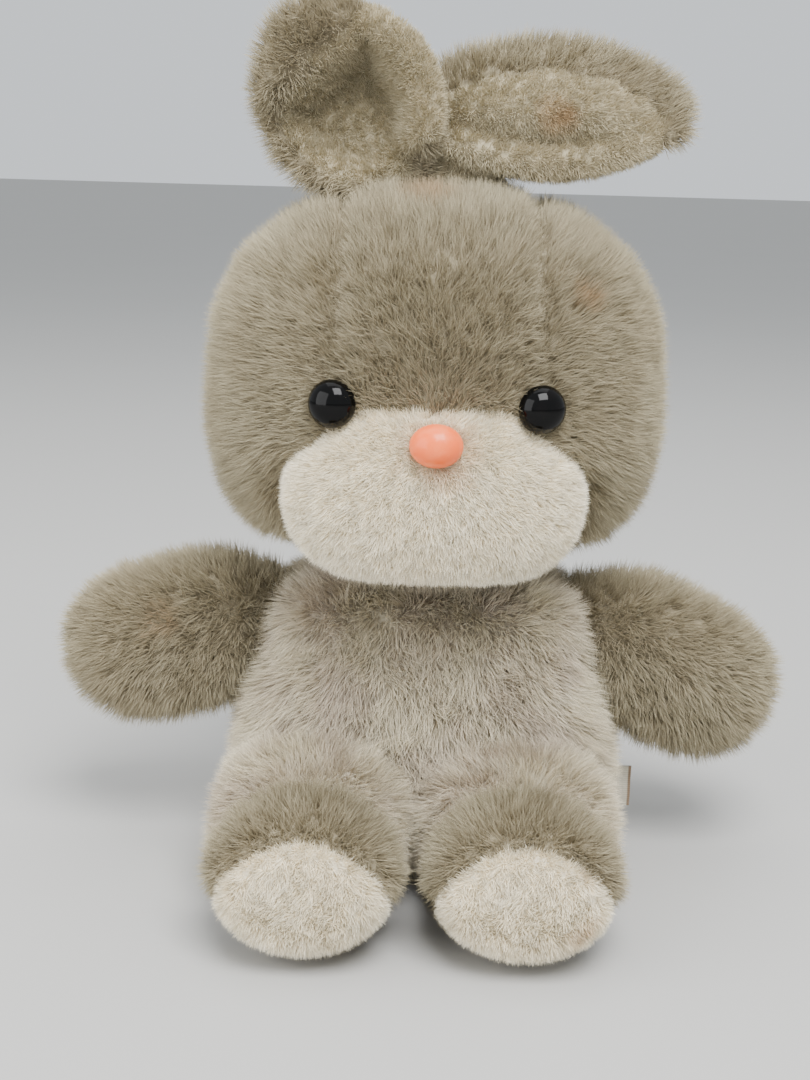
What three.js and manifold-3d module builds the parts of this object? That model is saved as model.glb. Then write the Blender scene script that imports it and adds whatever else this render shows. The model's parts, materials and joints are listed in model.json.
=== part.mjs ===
// A seated plush rabbit: sewn skin panels over soft stuffing, with plastic safety eyes and nose.
// Millimetres. +Z is up, the face looks along -Y, and the toy's own left side is +X.
// The origin is the middle of the flat seat, on the surface that the rabbit sits on.
import * as THREE from 'three';
import { mergeVertices } from 'three/addons/utils/BufferGeometryUtils.js';
import Module from 'manifold-3d';

const wasm = await Module();
wasm.setup();

// ---------------------------------------------------------------- driving dimensions

// Cloth and fits
const longPlush = 5; // backing cloth with its long pile pressed down
const shortPlush = 3.5; // backing cloth with short pile
const seamGap = 0.3; // between two panels at a seam
const stuffingGap = 0.4; // between a panel and the stuffing behind it
const seamPlay = 0.6; // round every part that turns in a seam
const dent = 3; // how far a limb's root presses the stuffing back

// Torso
const torsoHeight = 91.5;
const torsoHalfWidth = 58;
const torsoHalfDepth = 45;
const torsoWaistShare = 0.62; // how high the widest level stands, as a share of the half height
const torsoSquareness = 2.8;
const torsoTaper = 0.12; // how much narrower the top is than the widest level
const seatPanel = 4;

// Head
const headHalfWidth = 72;
const headHalfDepth = 61;
const headHalfHeight = 59;
const headForward = 4;
const headSquareness = 2.4;
const cheekFullness = 0.12;
const gussetHalfWidth = 28;
const chinPanelHeight = 9;

// Neck
const neckGap = 5;
const neckBall = 14;

// Muzzle
const muzzleHalfWidth = 46;
const muzzleHalfHeight = 25.5;
const muzzleBulge = 8; // how far the muzzle stands out of the head
const muzzleRise = 28; // its centre, above the lowest point of the head
const muzzleBrowHalfWidth = 21;
const muzzleReach = 6; // how far the muzzle's edge passes behind the lining of the head

// Safety eyes and nose
const buttonLift = 0.9; // between the base of an eye or the nose and the cloth
const eyeRadius = 7;
const eyeDome = 5.5;
const eyeSpacing = 59;
const eyeRise = 55.5; // above the lowest point of the head
const noseHalfWidth = 7.6;
const noseHalfHeight = 6.2;
const noseDepth = 7;
const noseRise = 45;
const noseLift = 2.2; // between the base of the nose and the sloping cloth behind it
const shankRadius = 2.2;
const shankLength = 16;
const washerRadius = 7.5;
const washerThickness = 2;
const washerPlay = 3; // between the washer and the curved cloth in front of it
const pocketRoom = 8; // how far the stuffing's pocket runs past the washer, towards the cloth
const shankTaper = 0.7; // the far end's radius, as a share of the shank's
const shankOverlap = 0.5; // how far the shank runs into the dome
const muzzleBrowEase = [8, 10]; // how far the curve beside the brow leans out and down
const muzzleCheekEase = [12, 18]; // how far the curve at the cheek runs up and down
const muzzleChinEase = 14; // how far in from the side the chin's curve starts

// Ears
const earLength = 80;
const earHalfWidth = 24;
const earCup = 58; // degrees that each side of the ear curls forward
const earThinning = 0.7; // how much thinner the sewn rim is than the middle, as a share
const earClearance = 6; // above the top of the head
const earLining = 3;
const earRootOffset = 8;
const earRootPhase = 0.14; // where the outline starts and how much it runs of half a sine wave
const earPhaseRun = 0.8;
const earBluntness = 0.75; // below 1 rounds the tip and the root
const earRootDrop = 0.5; // height of the root's middle over its clearance, as a share of the half width
const leftEarLean = 14; // degrees above level
const rightEarLean = 20;
const rightEarTurn = 24; // degrees that its tip is turned towards the front

// Arms
const shoulderRise = 76;
const shoulderInset = 6; // how deep the middle of the arm's root lies in the torso's side
const armRoot = 16;
const armWaist = 13; // the thinnest part, between the root and the paw
const armBulb = 26.5;
const armBulbCentre = 38;
const armLength = 69;
const armFlatness = 0.9;
const armSquareness = 2.4;
const leftArmDrop = 28; // degrees below level at rest
const rightArmDrop = 17;
const leftArmTravel = [0, 20]; // degrees lifted from rest
const rightArmTravel = [-5, 20];

// Legs
const legGap = 2; // between each leg's widest part and the middle
const hipInset = 7; // how deep the middle of the leg's root lies in the torso's front
const hipRadius = 22;
const legLength = 78;
const footHalfWidth = 29;
const footHalfHeight = 22.5;
const sleeveLength = 36;
const toeDepth = 20; // how far back from the sole the foot starts to round off
const toeBluntness = 0.6; // below 1 makes the toe fuller
const soleDepth = 6; // how far the sole pad reaches back from the toe
const legTravel = [0, 25]; // degrees lifted from rest

// Tail and label
const tailRadius = 15;
const tailRise = 24;
const tailStandOff = 0.55; // how far its middle is behind the torso, as a share of its radius
const labelHeight = 14;
const labelReach = 10;
const labelThickness = 1.2;
const labelRise = 10;

// ---------------------------------------------------------------- sizes that follow

const torsoHalfHeight = torsoHeight / (1 + torsoWaistShare);
const shoulderOut = torsoHalfWidth - shoulderInset;
const hipOut = footHalfWidth + legGap;
const hipForward = torsoHalfDepth - hipInset;
const neckPivot = torsoHeight + neckGap / 2;
const headBottom = neckGap / 2; // above the neck pivot
const headCentre = headBottom + headHalfHeight;
const headTop = headBottom + 2 * headHalfHeight;
const chinTop = headBottom + chinPanelHeight;
const REACH = 500; // long enough to pass through the whole rabbit
const ACROSS = 20; // facets round a plump form, and from its bottom to its top
const RINGS = 10;
const DOME_FACETS = [14, 8];
const SHANK_FACETS = 8;
const ROD_FACETS = 12;
const OUTLINE_FACETS = 6;
const EAR_FACETS = 6;
const ARM_STEPS = 12;
const ARM_FACETS = 14;
const LEG_FACETS = 16;
const HIP_RINGS = [25, 60]; // degrees round the root's ball
const THIGH_RINGS = [0, 0.25, 0.5, 0.75, 1]; // shares of the way to the heel
const TOE_RINGS = [32, 58, 76]; // degrees round the toe

// ---------------------------------------------------------------- materials

const cloth = (color) => new THREE.MeshStandardMaterial({ color, roughness: 0.95, metalness: 0 });
const tanPlush = cloth(0xa99d80);
const greyPlush = cloth(0xb5aa98);
const creamPlush = cloth(0xe6dcc8);
const fibreFill = cloth(0xf2f0ea);
const satin = new THREE.MeshStandardMaterial({ color: 0xe9e2cf, roughness: 0.5, metalness: 0 });
const blackPlastic = new THREE.MeshStandardMaterial({ color: 0x07080c, roughness: 0.08, metalness: 0 });
const pinkPlastic = new THREE.MeshStandardMaterial({ color: 0xe98f68, roughness: 0.35, metalness: 0 });
const clearPlastic = new THREE.MeshStandardMaterial({ color: 0xdfe2e4, roughness: 0.4, metalness: 0 });

// ---------------------------------------------------------------- solids and meshes

function toSolid(geometry) {
  const bare = geometry.clone();
  bare.deleteAttribute('normal');
  bare.deleteAttribute('uv');
  const merged = mergeVertices(bare, 1e-4);
  const vertProperties = new Float32Array(merged.attributes.position.array);
  const triVerts = new Uint32Array(merged.index.array);
  return new wasm.Manifold(new wasm.Mesh({ numProp: 3, vertProperties, triVerts }));
}

function toMesh(name, solid, material) {
  const { vertProperties, triVerts } = solid.getMesh();
  const geometry = new THREE.BufferGeometry();
  geometry.setAttribute('position', new THREE.BufferAttribute(vertProperties.slice(), 3));
  geometry.setIndex(new THREE.BufferAttribute(triVerts.slice(), 1));
  geometry.computeVertexNormals();
  const mesh = new THREE.Mesh(geometry, material);
  mesh.name = name;
  return mesh;
}

// A block between two corners. Corners left out reach through the whole rabbit.
function block(low, high) {
  const corner = (limits, side) => limits.map((value) => value ?? side * REACH);
  const from = new THREE.Vector3(...corner(low, -1));
  const to = new THREE.Vector3(...corner(high, 1));
  const size = to.clone().sub(from);
  const centre = from.clone().add(to).multiplyScalar(0.5);
  return toSolid(new THREE.BoxGeometry(size.x, size.y, size.z).translate(centre.x, centre.y, centre.z));
}

function ball(radius, centre = [0, 0, 0]) {
  return toSolid(new THREE.SphereGeometry(radius, 16, 10).translate(...centre));
}

// A plump closed form: a superellipsoid with its poles on Z, whose width and depth may follow the height.
function plump(half, squareness, widen) {
  const geometry = new THREE.SphereGeometry(1, ACROSS, RINGS).rotateX(Math.PI / 2);
  const place = geometry.attributes.position;
  const point = new THREE.Vector3();
  for (let i = 0; i < place.count; i += 1) {
    point.fromBufferAttribute(place, i);
    const sum = ['x', 'y', 'z'].reduce((total, axis) => total + Math.abs(point[axis]) ** squareness, 0);
    point.multiplyScalar(sum ** (-1 / squareness));
    const width = widen(point.z);
    place.setXYZ(i, point.x * half[0] * width, point.y * half[1] * width, point.z * half[2]);
  }
  return geometry;
}

// A closed body along +X from rings of { at, halfWidth (Y), halfHeight (Z), rise }. Its ends are points.
function ringed(stations, around) {
  const points = [];
  stations.forEach(({ at, halfWidth, halfHeight, rise }) => {
    for (let i = 0; i < around; i += 1) {
      const angle = (2 * Math.PI * i) / around;
      points.push(at, halfWidth * Math.cos(angle), rise + halfHeight * Math.sin(angle));
    }
  });
  const first = points.length / 3;
  const start = stations[0];
  const end = stations[stations.length - 1];
  points.push(start.at - start.cap, 0, start.rise, end.at + end.cap, 0, end.rise);
  const faces = [];
  for (let i = 0; i < around; i += 1) {
    const next = (i + 1) % around;
    const last = (stations.length - 1) * around;
    faces.push(first, next, i, first + 1, last + i, last + next);
    for (let ring = 0; ring < stations.length - 1; ring += 1) {
      const here = ring * around;
      const there = here + around;
      faces.push(here + i, here + next, there + i, here + next, there + next, there + i);
    }
  }
  const geometry = new THREE.BufferGeometry();
  geometry.setAttribute('position', new THREE.Float32BufferAttribute(points, 3));
  geometry.setIndex(faces);
  return geometry;
}

// ---------------------------------------------------------------- torso

const torsoWiden = (height) => 1 - torsoTaper * Math.max(0, height);
const torsoCentre = torsoHeight - torsoHalfHeight;

function torsoForm(inset) {
  const half = [torsoHalfWidth - inset, torsoHalfDepth - inset, torsoHalfHeight - inset];
  return toSolid(plump(half, torsoSquareness, torsoWiden).translate(0, 0, torsoCentre));
}

// The room that the neck, arms and legs need in the torso, all the way through their travel.
function torsoSockets(play) {
  const sockets = [ball(neckBall + play, [0, 0, neckPivot])];
  for (const side of [-1, 1]) {
    const drop = side > 0 ? leftArmDrop : rightArmDrop;
    const travel = side > 0 ? leftArmTravel : rightArmTravel;
    travel.forEach((lift) => sockets.push(armForm(-play).transform(armPlace(side, drop - lift).toArray())));
    legTravel.forEach((lift) => sockets.push(legForm(-play).transform(legPlace(side, lift).toArray())));
    sockets.push(ball(hipRadius + 2 * play, [side * hipOut, -hipForward, hipRadius]));
  }
  return wasm.Manifold.union(sockets);
}

// The stuffing only keeps clear of the round roots, because the limbs beyond them stay outside it.
function stuffingSockets(play) {
  const sockets = [ball(neckBall + play, [0, 0, neckPivot])];
  for (const side of [-1, 1]) {
    sockets.push(ball(armRoot + play + dent, [side * shoulderOut, 0, shoulderRise]));
    sockets.push(ball(hipRadius + play + dent, [side * hipOut, -hipForward, hipRadius]));
  }
  return wasm.Manifold.union(sockets);
}

function makeTorso() {
  const group = new THREE.Group();
  const sockets = torsoSockets(seamPlay);
  const skin = torsoForm(0).subtract(torsoForm(longPlush)).subtract(sockets);
  const aboveSeat = skin.intersect(block([null, null, seatPanel + seamGap], [null, null, null]));
  const front = aboveSeat.intersect(block([null, null, null], [null, -seamGap / 2, null]));
  const back = aboveSeat.intersect(block([null, seamGap / 2, null], [null, null, null]));
  const seat = torsoForm(0).subtract(sockets).intersect(block([null, null, 0], [null, null, seatPanel]));
  const fill = torsoForm(longPlush + stuffingGap).subtract(stuffingSockets(seamPlay + stuffingGap));
  const fillFloor = seatPanel + stuffingGap;
  group.add(toMesh('torso_front_panel', front, greyPlush));
  group.add(toMesh('torso_back_panel', back, greyPlush));
  group.add(toMesh('seat_base_panel', seat, greyPlush));
  group.add(toMesh('torso_stuffing', fill.intersect(block([null, null, fillFloor], [null, null, null])), fibreFill));
  group.add(...makeTail(), makeLabel());
  return group;
}

function makeTail() {
  const centre = [0, torsoHalfDepth + tailRadius * tailStandOff, tailRise];
  const clearOfTorso = torsoForm(-seamGap);
  const skin = ball(tailRadius, centre).subtract(ball(tailRadius - shortPlush, centre)).subtract(clearOfTorso);
  const fill = ball(tailRadius - shortPlush - stuffingGap, centre).subtract(clearOfTorso);
  return [toMesh('tail_cover', skin, creamPlush), toMesh('tail_stuffing', fill, fibreFill)];
}

function makeLabel() {
  const half = labelThickness / 2;
  const outer = torsoHalfWidth + labelReach;
  const tab = block([torsoHalfWidth / 2, -half, labelRise], [outer, half, labelRise + labelHeight]);
  return toMesh('side_label', tab.subtract(torsoForm(-seamGap)), satin);
}

// ---------------------------------------------------------------- head, about the neck pivot

const headWiden = (height) => 1 + cheekFullness * Math.max(0, -height);

const headShape = {
  half: [headHalfWidth, headHalfDepth, headHalfHeight],
  centre: [0, -headForward, headCentre],
  widen: headWiden,
};
const muzzleShape = {
  half: [muzzleHalfWidth + muzzleBulge, headHalfDepth / 2 + muzzleBulge, muzzleHalfHeight + muzzleBulge],
  centre: [0, -headForward - headHalfDepth / 2, headBottom + muzzleRise],
  widen: () => 1,
};

function roundForm({ half, centre, widen }, inset) {
  const inner = half.map((value) => value - inset);
  return toSolid(plump(inner, headSquareness, widen).translate(...centre));
}

// The front of a round form at a place across and up, and the way that it faces there.
function frontOf({ half, centre, widen }, x, z) {
  const height = (z - centre[2]) / half[2];
  const width = widen(height);
  const across = (x - centre[0]) / (half[0] * width);
  const left = 1 - Math.abs(across) ** headSquareness - Math.abs(height) ** headSquareness;
  const depth = Math.max(0, left) ** (1 / headSquareness);
  const place = new THREE.Vector3(x, centre[1] - half[1] * width * depth, z);
  const slope = (share, size) => (Math.sign(share) * Math.abs(share) ** (headSquareness - 1)) / size;
  const facing = new THREE.Vector3(
    slope(across, half[0] * width),
    -slope(depth, half[1] * width),
    slope(height, half[2]),
  );
  return { place, facing: facing.normalize() };
}

// The muzzle's outline: a broad rounded lozenge with a narrower flat brow between the eyes.
function muzzleOutline(inset) {
  const side = muzzleHalfWidth - inset;
  const brow = muzzleBrowHalfWidth - inset;
  const top = headBottom + muzzleRise + muzzleHalfHeight - inset;
  const bottom = headBottom + muzzleRise - muzzleHalfHeight + inset;
  const middle = headBottom + muzzleRise;
  const [browOut, browDown] = muzzleBrowEase;
  const [cheekUp, cheekDown] = muzzleCheekEase;
  const outline = new THREE.Shape();
  outline.moveTo(brow, top);
  outline.bezierCurveTo(brow + browOut, top - browDown, side, middle + cheekUp, side, middle);
  outline.bezierCurveTo(side, middle - cheekDown, side - muzzleChinEase, bottom, brow, bottom);
  outline.lineTo(-brow, bottom);
  outline.bezierCurveTo(-side + muzzleChinEase, bottom, -side, middle - cheekDown, -side, middle);
  outline.bezierCurveTo(-side, middle + cheekUp, -brow - browOut, top - browDown, -brow, top);
  const cut = { depth: REACH, bevelEnabled: false, curveSegments: OUTLINE_FACETS };
  const prism = new THREE.ExtrudeGeometry(outline, cut);
  const lining = { ...headShape, half: headShape.half.map((value) => value - longPlush) };
  const back = frontOf(lining, gussetHalfWidth, chinTop).place.y + muzzleReach;
  return toSolid(prism.rotateX(Math.PI / 2).translate(0, back, 0));
}

// A domed eye or nose on a ridged shank, standing on its own XY plane with its front along +Z.
function buttonForm(halfWidth, halfHeight, depth) {
  const dome = new THREE.SphereGeometry(1, ...DOME_FACETS).scale(halfWidth, halfHeight, depth);
  const front = toSolid(dome).intersect(block([null, null, 0], [null, null, null]));
  const shank = new THREE.CylinderGeometry(shankRadius, shankRadius * shankTaper, shankLength, SHANK_FACETS);
  shank.rotateX(Math.PI / 2).translate(0, 0, -shankLength / 2 + shankOverlap);
  return front.add(toSolid(shank));
}

function rod(radius, low, high) {
  const cylinder = new THREE.CylinderGeometry(radius, radius, high - low, ROD_FACETS);
  return toSolid(cylinder.rotateX(Math.PI / 2).translate(0, 0, (low + high) / 2));
}

// Everything that an eye or the nose needs, turned to stand on the head where it is sewn in.
function setButton(spot, lift, skin) {
  const turn = new THREE.Quaternion().setFromUnitVectors(new THREE.Vector3(0, 0, 1), spot.facing);
  const seat = spot.place.clone().addScaledVector(spot.facing, lift);
  const place = new THREE.Matrix4().compose(seat, turn, new THREE.Vector3(1, 1, 1));
  const washerTop = -lift - skin - washerPlay;
  const washerLow = washerTop - washerThickness;
  const move = (solid) => solid.transform(place.toArray());
  const pocketLow = Math.min(-shankLength, washerLow) - seamPlay;
  return {
    place,
    move,
    hole: move(rod(shankRadius + seamGap, -shankLength - seamPlay, 1)),
    pocket: move(rod(washerRadius + stuffingGap, pocketLow, washerTop + pocketRoom)),
    washer: move(rod(washerRadius, washerLow, washerTop).subtract(rod(shankRadius + seamGap, -REACH, 1))),
  };
}

function makeHead() {
  const group = new THREE.Group();
  group.position.set(0, 0, neckPivot);
  const neckHole = ball(neckBall + seamPlay);
  const eyes = [1, -1].map((side) => {
    const spot = frontOf(headShape, (side * eyeSpacing) / 2, headBottom + eyeRise);
    return setButton(spot, buttonLift, longPlush);
  });
  const noseSpot = frontOf(muzzleShape, 0, headBottom + noseRise);
  const behindNose = frontOf(headShape, 0, headBottom + noseRise);
  noseSpot.facing.add(new THREE.Vector3(0, -1, 0)).normalize();
  const nose = setButton(noseSpot, noseLift, behindNose.place.y - noseSpot.place.y + longPlush + noseLift);
  const buttons = [...eyes, nose];
  const holes = wasm.Manifold.union(buttons.map((button) => button.hole));
  const pockets = wasm.Manifold.union(buttons.map((button) => button.pocket));

  const inner = roundForm(headShape, longPlush);
  const skin = roundForm(headShape, 0).subtract(inner).subtract(neckHole).subtract(holes);
  const muzzleCut = muzzleOutline(-seamGap / 2);
  const upper = skin.subtract(muzzleCut).intersect(block([null, null, chinTop + seamGap], [null, null, null]));
  const chin = skin.subtract(muzzleCut).intersect(block([null, null, null], [null, null, chinTop]));
  const edge = gussetHalfWidth;
  const gusset = upper.intersect(block([-edge, null, null], [edge, null, null]));
  const left = upper.intersect(block([edge + seamGap, null, null], [null, null, null]));
  const right = upper.intersect(block([null, null, null], [-edge - seamGap, null, null]));
  const puffed = roundForm(headShape, 0).add(roundForm(muzzleShape, 0));
  const muzzle = puffed.subtract(inner).subtract(neckHole).subtract(holes);
  const fill = roundForm(headShape, longPlush + stuffingGap).subtract(ball(neckBall + seamPlay + stuffingGap));
  group.add(toMesh('head_gusset_panel', gusset, tanPlush));
  group.add(toMesh('head_left_panel', left, tanPlush));
  group.add(toMesh('head_right_panel', right, tanPlush));
  group.add(toMesh('chin_panel', chin, tanPlush));
  group.add(toMesh('muzzle_panel', muzzle.intersect(muzzleOutline(seamGap / 2)), creamPlush));
  group.add(toMesh('head_stuffing', fill.subtract(pockets), fibreFill));
  const eye = buttonForm(eyeRadius, eyeRadius, eyeDome);
  group.add(toMesh('eye_left', eyes[0].move(eye), blackPlastic));
  group.add(toMesh('eye_right', eyes[1].move(eye), blackPlastic));
  group.add(toMesh('eye_left_washer', eyes[0].washer, clearPlastic));
  group.add(toMesh('eye_right_washer', eyes[1].washer, clearPlastic));
  const noseButton = buttonForm(noseHalfWidth, noseHalfHeight, noseDepth);
  group.add(toMesh('nose', nose.move(noseButton), pinkPlastic));
  group.add(toMesh('nose_washer', nose.washer, clearPlastic));
  group.add(makeEar('ear_left', 1), makeEar('ear_right', -1));
  return group;
}

// ---------------------------------------------------------------- ears

// One layer of a cupped petal, from its root at the origin, along +X, curling towards -Y.
function petal(front, thickness, gap) {
  const along = EAR_FACETS;
  const across = EAR_FACETS;
  const points = [];
  const curl = THREE.MathUtils.degToRad(earCup);
  const surface = (s, t, depth) => {
    const half = earHalfWidth * Math.sin(Math.PI * (earRootPhase + earPhaseRun * s)) ** earBluntness;
    const radius = half / Math.sin(curl);
    const angle = t * curl;
    const reach = radius + gap + depth * (1 - earThinning * t ** 2);
    points.push(s * earLength, reach * Math.cos(angle) - radius, reach * Math.sin(angle));
  };
  for (const depth of [front, front + thickness]) {
    for (let i = 0; i <= along; i += 1) {
      for (let j = 0; j <= across; j += 1) {
        surface(i / along, (2 * j) / across - 1, depth);
      }
    }
  }
  const row = across + 1;
  const sheet = row * (along + 1);
  const faces = [];
  const quad = (a, b, c, d) => faces.push(a, c, b, a, d, c);
  for (let i = 0; i < along; i += 1) {
    for (let j = 0; j < across; j += 1) {
      const k = i * row + j;
      quad(k, k + 1, k + row + 1, k + row);
      quad(sheet + k, sheet + k + row, sheet + k + row + 1, sheet + k + 1);
    }
    const low = i * row;
    const high = low + across;
    quad(low, low + row, sheet + low + row, sheet + low);
    quad(high, sheet + high, sheet + high + row, high + row);
  }
  for (let j = 0; j < across; j += 1) {
    const tip = along * row + j;
    quad(j, sheet + j, sheet + j + 1, j + 1);
    quad(tip, tip + 1, sheet + tip + 1, sheet + tip);
  }
  const geometry = new THREE.BufferGeometry();
  geometry.setAttribute('position', new THREE.Float32BufferAttribute(points, 3));
  geometry.setIndex(faces);
  return toSolid(geometry);
}

function makeEar(name, side) {
  const group = new THREE.Group();
  const lean = side > 0 ? leftEarLean : rightEarLean;
  const turn = side > 0 ? 0 : rightEarTurn;
  const height = headTop + earClearance + earHalfWidth * earRootDrop;
  group.position.set(side * earRootOffset, 0, height);
  const mirror = new THREE.Matrix4().makeScale(side, 1, 1);
  const tilt = new THREE.Matrix4().makeRotationY(-side * THREE.MathUtils.degToRad(lean));
  const swing = new THREE.Matrix4().makeRotationZ(-side * THREE.MathUtils.degToRad(turn));
  const place = swing.multiply(tilt).multiply(mirror);
  const lining = petal(0, earLining, 0).transform(place.toArray());
  const back = petal(earLining, longPlush, seamGap).transform(place.toArray());
  group.add(toMesh(`${name}_lining`, lining, creamPlush));
  group.add(toMesh(`${name}_back`, back, tanPlush));
  return group;
}

// ---------------------------------------------------------------- arms, about the shoulder

// A drumstick along +X: a round root that turns in its seam, and a fat rounded paw.
function armForm(inset) {
  const bulbHalf = armLength - armBulbCentre;
  const profile = [];
  for (let i = 1; i < ARM_STEPS; i += 1) {
    const share = (1 - Math.cos((Math.PI * i) / ARM_STEPS)) / 2;
    const at = -armRoot + share * (armRoot + armLength);
    const root = Math.sqrt(Math.max(0, armRoot ** 2 - at ** 2));
    const away = Math.abs((at - armBulbCentre) / bulbHalf);
    const bulb = away < 1 ? armBulb * (1 - away ** armSquareness) ** (1 / armSquareness) : 0;
    const radius = Math.max(root, bulb);
    const wall = inset * Math.min(1, radius / armWaist);
    profile.push({
      at: at + inset * (1 - 2 * share),
      halfWidth: (radius - wall) * armFlatness,
      halfHeight: radius - wall,
      rise: 0,
      cap: 0,
    });
  }
  const last = profile[profile.length - 1];
  profile[0].cap = profile[0].at + armRoot - inset;
  last.cap = armLength - inset - last.at;
  return toSolid(ringed(profile, ARM_FACETS));
}

// Where an arm stands in the rabbit when it hangs some degrees below level.
function armPlace(side, drop) {
  const move = new THREE.Matrix4().makeTranslation(side * shoulderOut, 0, shoulderRise);
  const tilt = new THREE.Matrix4().makeRotationY(side * THREE.MathUtils.degToRad(drop));
  return move.multiply(tilt).multiply(new THREE.Matrix4().makeScale(side, 1, 1));
}

function makeArm(name, side, drop) {
  const group = new THREE.Group();
  const place = armPlace(side, drop).toArray();
  const skin = armForm(0).subtract(armForm(longPlush));
  const front = skin.intersect(block([null, null, null], [null, -seamGap / 2, null]));
  const back = skin.intersect(block([null, seamGap / 2, null], [null, null, null]));
  const fill = armForm(longPlush + stuffingGap);
  group.add(toMesh(`${name}_front_panel`, front.transform(place), tanPlush));
  group.add(toMesh(`${name}_back_panel`, back.transform(place), tanPlush));
  group.add(toMesh(`${name}_stuffing`, fill.transform(place), fibreFill));
  return group;
}

// ---------------------------------------------------------------- legs, about the hip

// A short thigh with a round root, and a boot-like foot with an upright sole. It runs along +X.
function legForm(inset) {
  const root = hipRadius - inset;
  const ankle = hipRadius;
  const toe = legLength - inset;
  const heel = legLength - toeDepth;
  const stations = [];
  for (const degrees of HIP_RINGS) {
    const turn = THREE.MathUtils.degToRad(degrees);
    const radius = root * Math.sin(turn);
    stations.push({ at: -root * Math.cos(turn), halfWidth: radius, halfHeight: radius });
  }
  const swell = (share, narrow, wide) => narrow + (wide - narrow) * THREE.MathUtils.smoothstep(share, 0, 1);
  for (const share of THIGH_RINGS) {
    const at = share * heel;
    const wide = swell(share, ankle, footHalfWidth) - inset;
    stations.push({ at, halfWidth: wide, halfHeight: swell(share, ankle, footHalfHeight) - inset });
  }
  for (const degrees of TOE_RINGS) {
    const turn = THREE.MathUtils.degToRad(degrees);
    const share = Math.cos(turn) ** toeBluntness;
    const at = heel + (toe - heel) * Math.sin(turn);
    stations.push({
      at,
      halfWidth: (footHalfWidth - inset) * share,
      halfHeight: (footHalfHeight - inset) * share,
    });
  }
  stations.forEach((station) => {
    station.rise = THREE.MathUtils.clamp(station.at / heel, 0, 1) * (footHalfHeight - hipRadius);
    station.cap = 0;
  });
  stations[0].cap = stations[0].at + root;
  stations[stations.length - 1].cap = toe - stations[stations.length - 1].at;
  return toSolid(ringed(stations, LEG_FACETS));
}

// Where a leg stands in the rabbit when its foot is lifted some degrees off the floor.
function legPlace(side, lift) {
  const move = new THREE.Matrix4().makeTranslation(side * hipOut, -hipForward, hipRadius);
  const raise = new THREE.Matrix4().makeRotationX(-THREE.MathUtils.degToRad(lift));
  return move.multiply(raise).multiply(new THREE.Matrix4().makeRotationZ(-Math.PI / 2));
}

function makeLeg(name, footName, side) {
  const group = new THREE.Group();
  const place = legPlace(side, 0).toArray();
  const skin = legForm(0).subtract(legForm(longPlush));
  const soleStart = legLength - soleDepth;
  const sleeve = skin.intersect(block([null, null, null], [sleeveLength, null, null]));
  const upper = skin.intersect(block([sleeveLength + seamGap, null, null], [soleStart, null, null]));
  const sole = legForm(0).intersect(block([soleStart + seamGap, null, null], [null, null, null]));
  const behindSole = block([null, null, null], [soleStart - stuffingGap, null, null]);
  const fill = legForm(longPlush + stuffingGap).intersect(behindSole);
  group.add(toMesh(`${name}_sleeve_panel`, sleeve.transform(place), greyPlush));
  group.add(toMesh(`${footName}_upper_panel`, upper.transform(place), tanPlush));
  group.add(toMesh(`${footName}_sole`, sole.transform(place), creamPlush));
  group.add(toMesh(`${name}_stuffing`, fill.transform(place), fibreFill));
  return group;
}

// ---------------------------------------------------------------- the rabbit

const rabbit = new THREE.Group();
const neck = toMesh('neck_stuffing', ball(neckBall), fibreFill);
neck.position.set(0, 0, neckPivot);
rabbit.add(makeTorso(), neck, makeHead());
rabbit.add(makeArm('arm_left', 1, leftArmDrop), makeArm('arm_right', -1, rightArmDrop));
rabbit.add(makeLeg('leg_left', 'foot_left', 1), makeLeg('leg_right', 'foot_right', -1));

export default rabbit;
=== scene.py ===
"""A seated plush rabbit with long pile, safety eyes and flopping ears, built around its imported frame."""

import json
import logging
import math
from dataclasses import dataclass, field, replace
from enum import Enum
from typing import Any

import bmesh
import bpy
import numpy as np
from mathutils import Matrix, Vector
from mathutils.bvhtree import BVHTree
from mathutils.kdtree import KDTree

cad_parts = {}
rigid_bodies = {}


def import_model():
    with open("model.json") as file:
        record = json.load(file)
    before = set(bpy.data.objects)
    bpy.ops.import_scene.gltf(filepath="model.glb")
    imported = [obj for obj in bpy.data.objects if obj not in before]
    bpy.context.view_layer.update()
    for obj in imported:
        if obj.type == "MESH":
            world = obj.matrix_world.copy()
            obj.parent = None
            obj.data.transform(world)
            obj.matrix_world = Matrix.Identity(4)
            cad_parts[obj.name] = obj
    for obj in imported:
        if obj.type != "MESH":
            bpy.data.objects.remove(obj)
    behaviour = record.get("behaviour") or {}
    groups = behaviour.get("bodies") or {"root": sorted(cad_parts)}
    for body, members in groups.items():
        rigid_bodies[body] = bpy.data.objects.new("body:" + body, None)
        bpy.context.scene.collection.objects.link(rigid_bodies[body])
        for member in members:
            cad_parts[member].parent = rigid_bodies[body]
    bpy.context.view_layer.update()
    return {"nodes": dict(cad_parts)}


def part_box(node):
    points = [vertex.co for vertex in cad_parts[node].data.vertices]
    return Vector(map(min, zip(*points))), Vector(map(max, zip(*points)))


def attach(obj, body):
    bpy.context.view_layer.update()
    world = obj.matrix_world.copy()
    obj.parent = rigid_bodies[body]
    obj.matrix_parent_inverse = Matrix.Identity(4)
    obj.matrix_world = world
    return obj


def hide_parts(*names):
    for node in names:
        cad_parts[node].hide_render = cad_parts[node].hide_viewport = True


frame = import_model()

logging.basicConfig(level=logging.INFO, format="%(message)s")
LOG = logging.getLogger("rabbit")

MM = 0.001
Colour = tuple[float, float, float]
Point = tuple[float, float, float]
BAKE_MAP = "OFBake"
CLOTH_FRAMES = 20
SKIN_CLEARANCE = 0.8 * MM
PILE_CLEARANCE = 0.2 * MM
NOSE_AT = (0.0016, -0.075, 0.141)
HIP_OUT = 0.031
LEG_ASIDE = -0.003


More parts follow.
